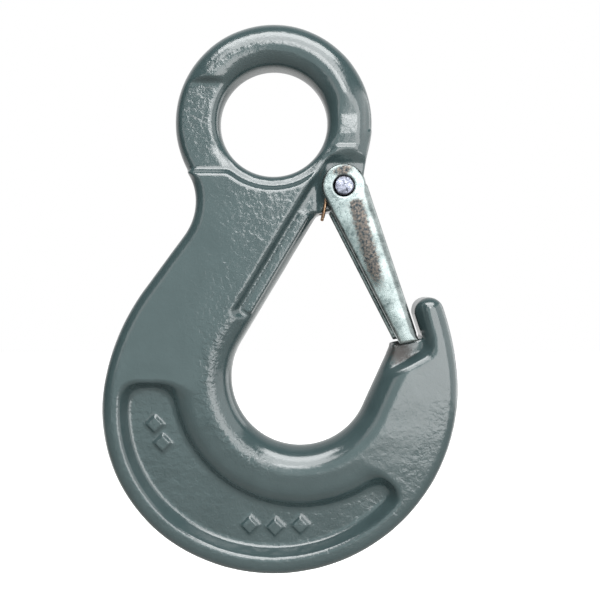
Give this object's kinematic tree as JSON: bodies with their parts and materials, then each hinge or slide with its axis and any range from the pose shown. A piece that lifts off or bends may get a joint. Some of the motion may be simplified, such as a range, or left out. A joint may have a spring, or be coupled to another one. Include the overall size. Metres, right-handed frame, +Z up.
{
  "type": "eye sling hook",
  "caption": "Forged steel eye sling hook with a deep bowl, belly pocket and a sprung channel latch that closes its throat.",
  "frame": {"origin": "centre of the eye's bore, on the forging's middle plane", "axes": "+Z up along the hanging hook, +X towards the nose and latch, +Y along the bore; the staked end of the pin faces -Y"},
  "size_m": [0.1211, 0.0222, 0.1882],
  "materials": {
    "powder_coat": "semi-gloss powder coat over forged steel",
    "zinc_plate": "blue-passivated zinc plate, slightly speckled",
    "zinc_pin": "bright zinc plate, staked end",
    "spring_wire": "bronze-toned oil-tempered wire"
  },
  "bodies": {
    "hook": {"hook_body": "powder_coat", "latch_spring": "spring_wire"},
    "safety_latch": {"latch": "zinc_plate", "latch_pin": "zinc_pin"}
  },
  "joints": [
    {"name": "latch_pivot", "type": "hinge", "parent": "hook", "child": "safety_latch", "pos_m": [0.0238, 0, -0.0228], "axis": [0, 1, 0], "range_deg": [0, 56], "stiffness_Nm_per_rad": 0.06, "springref_deg": -34.38, "deforming": ["latch_spring"]}
  ]
}
